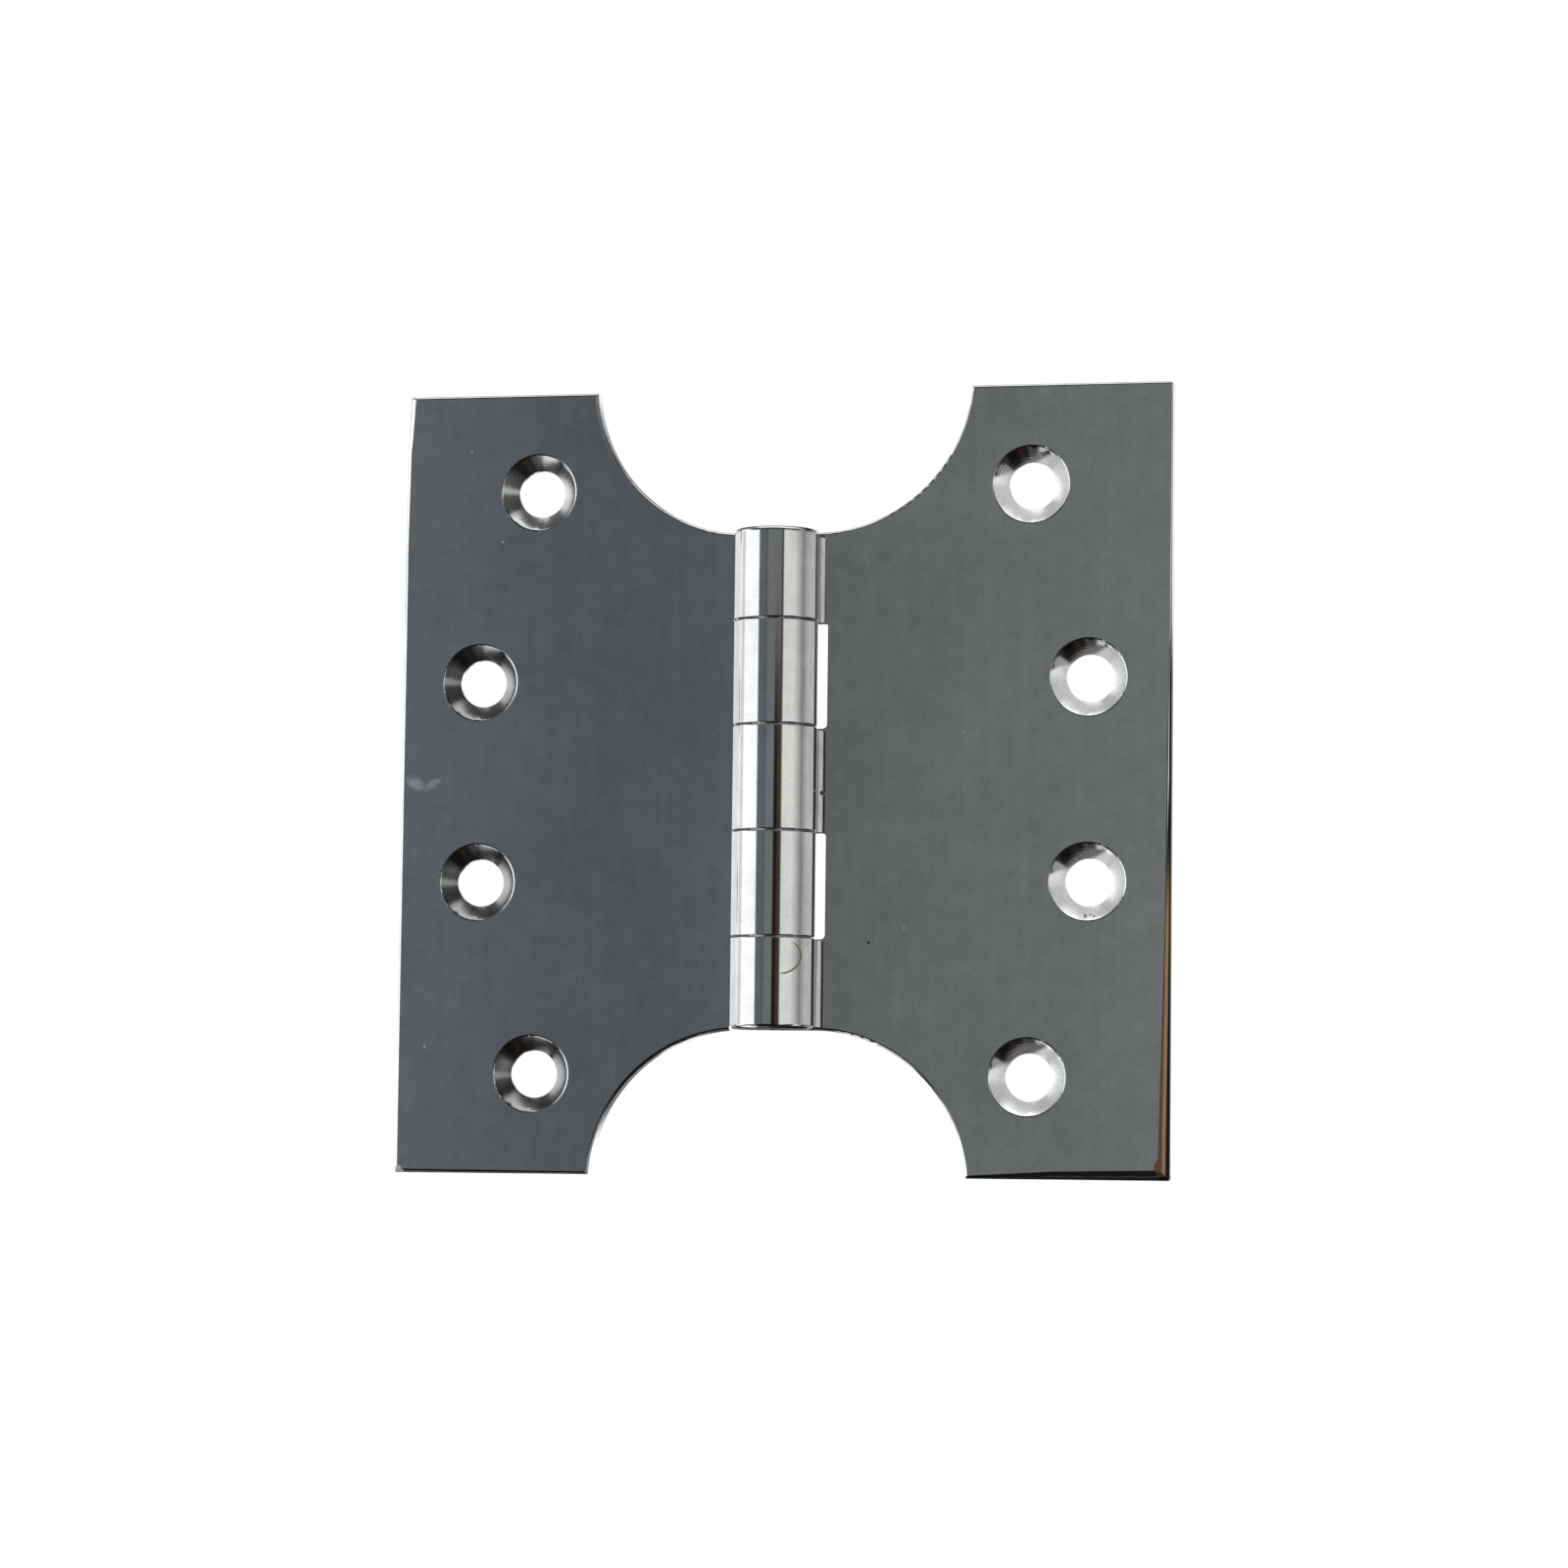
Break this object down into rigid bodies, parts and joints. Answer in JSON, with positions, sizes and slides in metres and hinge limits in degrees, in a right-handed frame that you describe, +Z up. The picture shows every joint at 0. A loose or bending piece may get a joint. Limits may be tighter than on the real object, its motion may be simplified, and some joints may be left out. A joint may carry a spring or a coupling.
{
  "type": "parliament hinge",
  "caption": "Polished chrome parliament hinge: wide H-shaped leaves with quarter-round cut-outs and countersunk screw holes, joined by rolled knuckles that turn on a plain pin.",
  "frame": {"origin": "the middle of the pin's axis, which is the middle of the open hinge", "axes": "+Z runs up the pin, +X runs from the pin across the right leaf, +Y runs from the countersunk front to the flat back that lies on the door and the frame"},
  "size_m": [0.102, 0.0109, 0.102],
  "materials": {
    "polished_chrome": "polished chrome plate over steel, with faint polishing marks",
    "pin_steel": "drawn steel wire, bare"
  },
  "bodies": {
    "fixed_leaf": {"right_leaf": "polished_chrome", "hinge_pin": "pin_steel"},
    "swinging_leaf": {"left_leaf": "polished_chrome"}
  },
  "joints": [
    {"name": "leaf_swing", "type": "hinge", "parent": "fixed_leaf", "child": "swinging_leaf", "pos_m": [0, 0, 0], "axis": [0, 0, 1], "range_deg": [-95, 180]}
  ]
}
